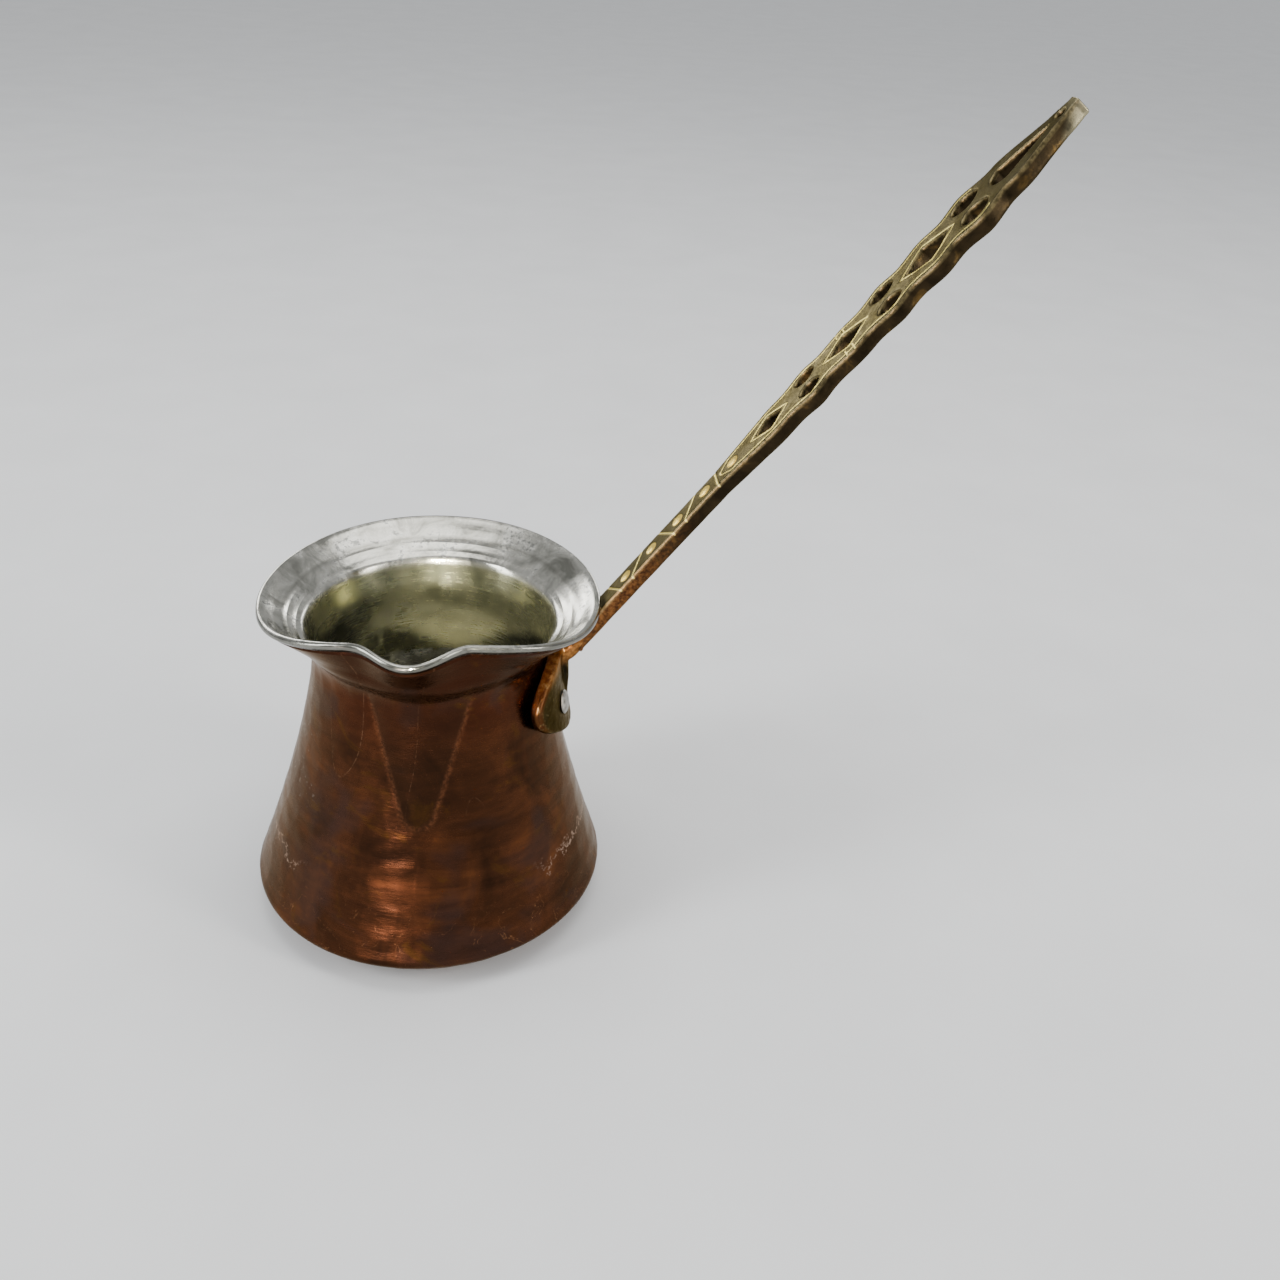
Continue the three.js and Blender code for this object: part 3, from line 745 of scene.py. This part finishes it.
# ---- rivets --------------------------------------------------------------------------
def build_rivet(name, side, seed):
    """A shank through all the walls, a hammered head outside and a low peened button inside."""
    lift = PLATE_LIFT * (SEAT_BEARING / PLATE_BEARING) ** 2
    seat = GAP + PLATE_T + lift + 0.12
    inner = WALL + GAP * 0.5
    dome = ((0, 1), (0.3, 0.99), (0.6, 0.9), (0.85, 0.6), (0.97, 0.25), (1, 0))
    profile = [(PEEN_R * r, -inner - PEEN_H * h) for r, h in dome]
    profile += [(SHANK, -inner), (SHANK, seat), (RIVET_HEAD * 0.96, seat),
                (RIVET_HEAD, seat + RIVET_RISE * 0.22)]
    for k in range(1, 9):
        t = k / 8
        profile.append((RIVET_HEAD * (1 - t) ** 0.6 if t < 1 else 0,
                        seat + RIVET_RISE * (0.22 + 0.78 * (1 - (1 - t) ** 2.6))))
    turns = 44
    bearing = side * SEAT_BEARING
    normal = Vector((math.cos(bearing), math.sin(bearing),
                     -SEAT_SLOPE - LEAN * math.cos(bearing))).normalized()
    place = Vector((SEAT_R * math.cos(bearing) + LEAN * RIVET_Z, SEAT_R * math.sin(bearing), RIVET_Z))
    turn = normal.to_track_quat("Z", "Y")
    verts = []
    for r, h in profile[1:-1]:
        for k in range(turns):
            a = 2 * math.pi * k / turns
            p = Vector((r * math.cos(a), r * math.sin(a), h))
            wob = noise.noise(p * 0.55 + Vector((seed, 0, 0)))
            flat = noise.noise(p * 0.9 + Vector((0, seed, 3)))
            if h > seat:
                p *= 1 - 0.05 * abs(wob)
                p.z = h - 0.16 * abs(flat) - 0.02
            verts.append(place + turn @ p)
    verts += [place + turn @ Vector((0, 0, profile[0][1])),
              place + turn @ Vector((0, 0, profile[-1][1] - 0.08))]
    faces = turned_faces(len(profile) - 2, turns)
    return make_object(name + "_hammered", verts, faces, replaces=[name])


# ---- node helpers --------------------------------------------------------------------
def srgb(r, g, b):
    """0-255 display colour to linear RGBA."""
    def lin(c):
        c /= 255
        return c / 12.92 if c <= 0.04045 else ((c + 0.055) / 1.055) ** 2.4
    return (lin(r), lin(g), lin(b), 1.0)


class Material:
    """A node tree with short calls: each returns an output socket."""

    def __init__(self, name, metallic=1.0):
        self.mat = bpy.data.materials.new(name)
        self.mat.use_nodes = True
        self.tree = self.mat.node_tree
        self.shader = self.tree.nodes["Principled BSDF"]
        self.shader.inputs["Metallic"].default_value = metallic
        self.coord = self.tree.nodes.new("ShaderNodeTexCoord").outputs["Object"]

    def node(self, kind, inputs=None, **settings):
        n = self.tree.nodes.new("ShaderNode" + kind)
        for key, value in settings.items():
            setattr(n, key, value)
        for key, value in (inputs or {}).items():
            socket = n.inputs[key]
            if isinstance(value, bpy.types.NodeSocket):
                self.tree.links.new(value, socket)
            else:
                socket.default_value = value
        return n

    def scaled(self, x, y, z):
        """Object space in millimetres, stretched."""
        return self.node("Mapping", {"Vector": self.coord, "Scale": (x * 1000, y * 1000, z * 1000)}
                         ).outputs[0]

    def noise(self, vector, scale, detail=3.0, rough=0.55, distortion=0.0):
        return self.node("TexNoise", {"Vector": vector, "Scale": scale, "Detail": detail,
                                      "Roughness": rough, "Distortion": distortion}).outputs[0]

    def cells(self, vector, scale):
        return self.node("TexVoronoi", {"Vector": vector, "Scale": scale}).outputs["Distance"]

    def math(self, op, a, b=0.5):
        return self.node("Math", {0: a, 1: b}, operation=op).outputs[0]

    def blend(self, a, b, share):
        """Share of a plus the rest of b."""
        return self.math("ADD", self.math("MULTIPLY", a, share), self.math("MULTIPLY", b, 1 - share))

    def times(self, a, b):
        return self.math("MULTIPLY", a, b)

    def apart(self, a, b):
        """The distance between two values."""
        return self.math("ABSOLUTE", self.math("SUBTRACT", a, b))

    def span(self, value, lo, hi, out_lo=0.0, out_hi=1.0):
        """Smooth step from out_lo at lo to out_hi at hi."""
        return self.node("MapRange", {"Value": value, "From Min": lo, "From Max": hi,
                                      "To Min": out_lo, "To Max": out_hi},
                         interpolation_type="SMOOTHSTEP").outputs[0]

    def ramp(self, value, *stops):
        """Colours by value, each stop a position and a colour."""
        n = self.node("ValToRGB", {"Fac": value})
        elements = n.color_ramp.elements
        while len(elements) < len(stops):
            elements.new(0.5)
        for e, (at, colour) in zip(elements, stops):
            e.position, e.color = at, colour
        return n.outputs[0]

    def mix(self, fac, a, b):
        """Colour a towards colour b."""
        return self.node("Mix", {0: fac, 6: a, 7: b}, data_type="RGBA").outputs[2]

    def attribute(self, name):
        return self.node("Attribute", attribute_name=name).outputs["Fac"]

    def axis(self, which):
        return self.node("SeparateXYZ", {"Vector": self.scaled(1, 1, 1)}).outputs[which]

    def bump(self, height, strength, distance, normal=None):
        inputs = {"Height": height, "Strength": strength, "Distance": distance * MM}
        if normal is not None:
            inputs["Normal"] = normal
        return self.node("Bump", inputs).outputs[0]

    def finish(self, colour, rough, normal=None):
        self.tree.links.new(colour, self.shader.inputs["Base Color"])
        self.tree.links.new(rough, self.shader.inputs["Roughness"])
        if normal is not None:
            self.tree.links.new(normal, self.shader.inputs["Normal"])
        return self.mat


def copper_material():
    m = Material("hammered_copper")
    flat = m.scaled(1, 1, 1)
    ringed = m.scaled(0.25, 0.25, 1.3)
    side, height = m.axis("X"), m.axis("Z")
    broad = m.noise(flat, 0.055, 4, 0.6, 0.6)
    streak = m.noise(ringed, 0.3, 4, 0.55, 0.3)
    fine = m.noise(ringed, 2.6, 3, 0.6)
    tone = m.blend(broad, streak, 0.72)
    colour = m.ramp(tone, (0.34, srgb(42, 26, 17)), (0.46, srgb(57, 34, 21)),
                    (0.56, srgb(70, 41, 25)), (0.68, srgb(92, 54, 31)))
    # redder up the neck; darker under the lip all round, partly tarnish and partly painted shade under the
    # flange
    colour = m.mix(m.span(height, 54, 73, 0, 0.5), colour, srgb(66, 31, 19))
    colour = m.mix(m.span(height, 73, 80, 0, 0.6), colour, srgb(40, 23, 15))
    violet = m.span(m.noise(flat, 0.06, 2, 0.5, 0.6), 0.5, 0.68, 0, 0.6)
    colour = m.mix(violet, colour, srgb(50, 38, 35))
    gold = m.span(m.noise(m.scaled(0.8, 0.8, 1), 0.09, 4, 0.6, 1.2), 0.56, 0.72, 0, 0.4)
    colour = m.mix(gold, colour, srgb(84, 56, 20))
    grain = m.noise(flat, 1.1, 4, 0.7)
    colour = m.mix(m.times(m.attribute("channel"), 0.4), colour, srgb(40, 27, 18))
    # painted highlight along the channel edges, then worn bright lines: cracks down the neck,
    # a jagged tide line at both sides, and loose scratches low on the belly
    edge = m.times(m.attribute("channel_edge_highlight"), m.span(grain, 0.36, 0.7, 0.05, 0.42))
    colour = m.mix(edge, colour, srgb(128, 80, 54))
    crack = m.apart(m.noise(m.scaled(0.05, 0.05, 0.008), 1, 1, 0.4, 0.15), 0.5)
    crack = m.times(m.span(crack, 0.0, 0.003, 1, 0), m.span(height, 40, 56, 0, 0.4))
    colour = m.mix(m.times(crack, m.span(grain, 0.42, 0.64)), colour, srgb(140, 104, 78))
    tide_height, tide_swing = 23.5, 17
    jag = m.times(m.math("SUBTRACT", m.noise(flat, 0.17, 5, 0.72), 0.5), tide_swing)
    tide = m.apart(m.math("SUBTRACT", height, tide_height), jag)
    outer = m.span(m.math("ABSOLUTE", side), 26, 36, 0, 0.75)
    outer = m.times(outer, m.span(grain, 0.4, 0.56))
    colour = m.mix(m.times(m.span(tide, 0.1, 0.6, 1, 0), outer), colour, srgb(186, 158, 140))
    low = m.apart(m.noise(flat, 0.085, 4, 0.55, 0.9), 0.5)
    low = m.times(m.span(low, 0.0, 0.005, 1, 0), m.span(height, 26, 12, 0, 0.5))
    colour = m.mix(m.times(low, m.span(grain, 0.4, 0.62)), colour, srgb(150, 104, 70))
    # pale chips on the side away from the handle
    chips = m.times(m.span(m.noise(flat, 0.8, 4, 0.75), 0.63, 0.68),
                    m.times(m.span(side, -23, -29), m.span(height, 34, 44)))
    colour = m.mix(chips, colour, srgb(170, 160, 150))
    rough = m.span(m.blend(broad, fine, 0.6), 0.35, 0.65, 0.2, 0.34)
    pits = m.span(m.cells(flat, 0.4), 0.0, 0.1, 1, 0)
    bump = m.bump(streak, 0.3, 0.25)
    bump = m.bump(fine, 0.16, 0.06, bump)
    bump = m.bump(pits, 0.2, -0.08, bump)
    m.shader.inputs["Specular Tint"].default_value = (0.86, 0.76, 0.66, 1)
    return m.finish(colour, rough, bump)


def tin_material():
    m = Material("wiped_tin")
    flat = m.scaled(1, 1, 1)
    inside = m.attribute("inside")
    patch = m.noise(flat, 0.11, 5, 0.62, 0.8)
    speck = m.noise(flat, 0.75, 4, 0.7)
    colour = m.ramp(patch, (0.30, srgb(128, 127, 118)), (0.50, srgb(184, 182, 172)),
                    (0.68, srgb(216, 214, 205)))
    dark = m.times(m.span(patch, 0.50, 0.62), m.span(speck, 0.48, 0.6))
    colour = m.mix(m.times(dark, 0.7), colour, srgb(84, 86, 84))
    colour = m.mix(m.times(m.attribute("line"), 0.5), colour, srgb(98, 96, 88))
    # painted dark reflection: the outer and lower side of the lip bead is painted dark grey, for the dark
    # surroundings it would reflect
    colour = m.mix(m.times(m.attribute("lip_side_dark_reflection"), 0.8), colour, srgb(92, 92, 86))
    olive = m.ramp(m.noise(flat, 0.12, 4, 0.6), (0.35, srgb(76, 77, 60)), (0.65, srgb(112, 111, 88)))
    # painted light: a paler band of tin halfway down the cup
    height = m.axis("Z")
    painted_light_band = m.times(m.span(height, 69, 57, 0, 0.85), m.span(height, 25, 48))
    olive = m.mix(painted_light_band, olive, srgb(158, 156, 122))
    colour = m.mix(inside, colour, olive)
    ring = m.noise(m.scaled(0.12, 0.12, 1.6), 0.9, 4, 0.6)
    rough = m.span(m.blend(patch, ring, 0.6), 0.35, 0.65, 0.12, 0.3)
    rough = m.math("ADD", rough, m.times(inside, 0.04))
    metal = m.math("SUBTRACT", 1.0, m.times(inside, 0.15))
    m.tree.links.new(metal, m.shader.inputs["Metallic"])
    bump = m.bump(ring, 0.22, 0.1)
    bump = m.bump(m.noise(flat, 0.5, 3, 0.6), 0.2, 0.12, bump)
    return m.finish(colour, rough, bump)


def brass_grain(m):
    """The two patterns that both brass pieces share: fine grain and broad clouds."""
    flat = m.scaled(1, 1, 1)
    return m.noise(flat, 0.9, 4, 0.65), m.noise(flat, 0.16, 4, 0.6, 0.5)


def finish_brass(m, colour, rough, grain, edge_tint):
    bump = m.bump(grain, 0.3, 0.1)
    bump = m.bump(m.noise(m.scaled(1, 1, 1), 3.2, 2), 0.2, 0.04, bump)
    m.shader.inputs["Specular Tint"].default_value = edge_tint
    return m.finish(colour, rough, bump)


def plate_material():
    """Bare orange metal at the elbow and along the sheltered edge, brown-olive face."""
    m = Material("cast_brass")
    grain, cloud = brass_grain(m)
    face = m.ramp(cloud, (0.4, srgb(24, 20, 13)), (0.62, srgb(38, 33, 21)))
    colour = m.mix(m.times(m.attribute("edge"), 0.6), face, srgb(84, 48, 24))
    bare = m.ramp(grain, (0.4, srgb(104, 66, 34)), (0.62, srgb(160, 110, 60)))
    colour = m.mix(m.span(m.axis("Z"), 67, 71, 0, 0.9), colour, bare)
    colour = m.mix(m.times(m.span(grain, 0.56, 0.7), 0.3), colour, srgb(150, 138, 100))
    rough = m.span(grain, 0.35, 0.65, 0.28, 0.45)
    return finish_brass(m, colour, rough, grain, (0.7, 0.62, 0.5, 1))


def bar_material():
    """Dark sides, olive top face, bright rims and engraving; bare and warm towards the lip."""
    m = Material("worn_brass")
    grain, cloud = brass_grain(m)
    dark = m.ramp(cloud, (0.36, srgb(34, 28, 19)), (0.58, srgb(50, 41, 27)), (0.76, srgb(100, 78, 42)))
    bare = m.ramp(grain, (0.4, srgb(70, 44, 28)), (0.65, srgb(140, 92, 52)))
    dark = m.mix(m.span(m.axis("X"), 66, 46, 0, 0.7), dark, bare)
    top = m.ramp(cloud, (0.38, srgb(58, 54, 42)), (0.62, srgb(82, 77, 62)))
    colour = m.mix(m.attribute("face"), dark, top)
    # painted highlight: a thin bright line along the rounded rims
    rim_highlight = m.times(m.attribute("rim"), m.span(grain, 0.34, 0.66, 0.2, 0.5))
    colour = m.mix(rim_highlight, colour, srgb(168, 152, 106))
    # painted highlight: the tip is painted pale
    colour = m.mix(m.span(m.axis("X"), 130, 135, 0, 0.55), colour, srgb(190, 182, 148))
    cut = m.span(m.attribute("engraved"), 0.15, 0.6)
    colour = m.mix(m.times(cut, 0.68), colour, srgb(238, 220, 132))
    colour = m.mix(m.span(m.attribute("stud"), 0.05, 0.3), colour, srgb(244, 214, 116))
    rough = m.span(grain, 0.35, 0.65, 0.3, 0.46)
    return finish_brass(m, colour, rough, grain, (0.82, 0.74, 0.54, 1))


def rivet_material():
    m = Material("hammered_rivet")
    flat = m.scaled(1, 1, 1)
    patch = m.noise(flat, 0.6, 4, 0.6)
    colour = m.ramp(patch, (0.35, srgb(112, 108, 102)), (0.6, srgb(168, 165, 158)))
    rough = m.span(patch, 0.3, 0.7, 0.28, 0.46)
    return m.finish(colour, rough, m.bump(m.noise(flat, 1.4, 3), 0.4, 0.12))


# ---- the pot ---------------------------------------------------------------------------
MARK_PITCH = 7.5
SCOOP_EDGE, LIP_GROOVE = 5.5, 9.3


def flange_place(r, z):
    """Distance up the flange from the throat crease, and height above its face."""
    dr, dz = r - THROAT_R, z - THROAT_Z
    return dr * FLANGE_DIR[0] + dz * FLANGE_DIR[1], dr * FLANGE_UP[0] + dz * FLANGE_UP[1]


def outer_side(z):
    """True on the rows of the profile before its highest point, which are the outside."""
    return (np.arange(len(z)) < np.argmax(z[:, 0]))[:, None]


def inner_side(z):
    return (np.arange(len(z)) > np.argmax(z[:, 0]))[:, None]


def copper_dent(a, r, z):
    """Low hammered rings and planishing marks, outside only."""
    ring_height = 0.065
    marks = hammer_marks(a, r, z, 3, (4, 80, MARK_PITCH), 30, 0.1)
    drift = 1.1 * np.sin(2 * a + 0.6) + 0.5 * np.sin(5 * a)
    rings = ring_height * np.abs(np.sin((z + drift) * 0.56)) * (1 - smooth(z, 34, 46))
    body = smooth(z, 1.0, 6.0) * (1 - smooth(z, 72, 77))
    return np.where(outer_side(z), (rings - marks - ring_height) * body, 0)


def tin_dent(a, r, z):
    """Hammer marks low inside the cup; two shallow scoops and a groove round the flange."""
    body = smooth(z, 2.2, 6.0) * (1 - smooth(z, 58, 68))
    marks = hammer_marks(a, r, z, 8, (4, 76, MARK_PITCH), 26, 0.2) * body
    along, _ = flange_place(r, z)
    inner = np.sin(np.pi * np.clip((along - 0.5) / 5.0, 0, 1))
    outer = np.sin(np.pi * np.clip((along - SCOOP_EDGE) / 3.3, 0, 1))
    lip = bump(along, LIP_GROOVE, 0.55)
    return np.where(inner_side(z), -marks - 0.42 * inner - 0.22 * outer - 0.2 * lip, 0)


def revolved_attribute(obj, name, values):
    """An attribute on the rings of a revolved piece, 0 at its two end points."""
    set_attribute(obj, name, np.append(values, [0, 0]))


def build_copper(profile):
    obj, (a, r, z) = revolve("copper_body_hammered", profile, copper_dent,
                             ["copper_body"])
    place = channel_place(from_spout(a), r, z)
    reach = (1 - smooth(z, 70, 76)) * outer_side(z)
    revolved_attribute(obj, "channel", (place < 1) * reach)
    # painted highlight: marks the channel's edges, which the copper material paints bright
    revolved_attribute(obj, "channel_edge_highlight", bump(place, 1.0, 1.1 / channel_half(z)) * reach)
    obj.data.materials.append(copper_material())


def build_tin(profile):
    obj, (a, r, z) = revolve("tin_lining_wiped", profile, tin_dent, ["tin_lining"])
    along, up = flange_place(r, z)
    revolved_attribute(obj, "inside", smooth(z, 79.6, 77.5) * (r < THROAT_R))
    lines = np.maximum(bump(along, SCOOP_EDGE, 0.45), bump(along, LIP_GROOVE, 0.5))
    revolved_attribute(obj, "line", lines * inner_side(z) * (np.abs(up) < 1))
    # painted dark reflection: marks the bead's outer and lower side, which the tin material paints dark
    # grey
    turned = np.arctan2(up + BEAD, along - FLANGE_W + BEAD)
    revolved_attribute(obj, "lip_side_dark_reflection", (along > 5) * smooth(-turned, -0.35, 0.1))
    obj.data.materials.append(tin_material())


def build_pot():
    copper_profile, tin_profile = body_profiles()
    build_copper(copper_profile)
    build_tin(tin_profile)
    bar = build_bar()
    plate = build_plate()
    rivets = [build_rivet("rivet_spout_side", -1, 2.0), build_rivet("rivet_far_side", 1, 7.0)]
    bar.data.materials.append(bar_material())
    plate.data.materials.append(plate_material())
    look = rivet_material()
    for rivet in rivets:
        rivet.data.materials.append(look)


# ---- stage, lights and camera ------------------------------------------------------------
def build_stage():
    """A pale floor, in metres, that sweeps up into a backdrop far behind the pot."""
    half, near, far, bend, top = 5.0, -4.0, 5.0, 1.2, 3.5
    line = [(near, 0.0), (far, 0.0)]
    line += [(far + bend * math.sin(t), bend - bend * math.cos(t)) for t in np.linspace(0.1, 1.5, 12)]
    line += [(far + bend, top)]
    verts, faces = [], []
    for y, z in line:
        verts += [(-half, y, z), (half, y, z)]
    for i in range(len(line) - 1):
        faces.append((2 * i, 2 * i + 1, 2 * i + 3, 2 * i + 2))
    mesh = bpy.data.meshes.new("pale_floor")
    mesh.from_pydata(verts, [], faces)
    mesh.shade_smooth()
    floor = bpy.data.objects.new("pale_floor", mesh)
    bpy.context.scene.collection.objects.link(floor)
    m = Material("pale_paper", metallic=0.0)
    tone = m.noise(m.scaled(1, 1, 1), 0.02, 3)
    m.finish(m.ramp(tone, (0.3, srgb(242, 242, 241)), (0.7, srgb(247, 247, 246))),
             m.span(tone, 0, 1, 0.75, 0.85))
    mesh.materials.append(m.mat)
    return floor


def area_light(name, place, aim, size, power, colour=(1, 1, 1), spread=math.pi):
    data = bpy.data.lights.new(name, "AREA")
    data.shape, data.size, data.size_y = "RECTANGLE", *size
    data.energy, data.color, data.spread = power, colour, spread
    obj = bpy.data.objects.new(name, data)
    obj.location = place
    obj.rotation_mode = "QUATERNION"
    obj.rotation_quaternion = (Vector(aim) - Vector(place)).to_track_quat("-Z", "Y")
    bpy.context.scene.collection.objects.link(obj)
    return obj


def build_lights(floor):
    """Plain studio lamps, in metres: three wide ones, and four low ones that skip the floor."""
    target = (0.02, 0, 0.07)
    area_light("soft_top", (0.1, 0.15, 1.1), target, (0.9, 0.7), 6)
    area_light("window_left", (-0.9, -0.35, 0.55), target, (0.25, 0.8), 8.5, (0.95, 0.98, 1))
    area_light("window_right", (0.95, -0.5, 0.5), target, (0.2, 0.7), 6, (1, 0.98, 0.95))
    low = [area_light("back_left", (-0.55, 1.1, 0.42), target, (0.5, 0.3), 3.6),
           area_light("back_right", (0.6, 1.1, 0.3), target, (0.4, 0.2), 2),
           area_light("front_low", (-0.42, -1.0, 0.14), (0, 0, 0.02), (0.22, 0.16), 8.5,
                      (1, 0.78, 0.73)),
           area_light("cup_fill", (-0.05, -0.5, 0.34), (0.012, 0.031, 0.058), (0.04, 0.03), 0.07,
                      (1, 0.95, 0.75), spread=rad(9))]
    # near the floor a lamp leaves a pool or an edge on it, so these four light the metal only
    skipped = bpy.data.collections.new("skipped_by_low_lamps")
    skipped.objects.link(floor)
    skipped.collection_objects[0].light_linking.link_state = "EXCLUDE"
    for lamp in low:
        lamp.light_linking.receiver_collection = skipped
    world = bpy.data.worlds.new("studio")
    world.use_nodes = True
    background = world.node_tree.nodes["Background"]
    background.inputs["Color"].default_value = (0.8, 0.82, 0.85, 1)
    background.inputs["Strength"].default_value = 0.7
    bpy.context.scene.world = world


def build_camera():
    """Looks down at the pot by about 31 degrees, rolled a few degrees."""
    place, roll = (0.02354, -0.26484, 0.23322), rad(3.77)
    forward = Vector((0.0938, 0.8520, -0.5151)).normalized()
    data = bpy.data.cameras.new("camera")
    data.sensor_width, data.lens = 36, 35.52
    data.clip_start, data.clip_end = 0.01, 20
    camera = bpy.data.objects.new("camera", data)
    level = forward.cross(Vector((0, 0, 1))).normalized()
    right = Matrix.Rotation(-roll, 3, forward) @ level
    up = right.cross(forward)
    basis = Matrix((right, up, -forward)).transposed()
    camera.matrix_world = Matrix.Translation(place) @ basis.to_4x4()
    bpy.context.scene.collection.objects.link(camera)
    bpy.context.scene.camera = camera


build_pot()
build_lights(build_stage())
build_camera()
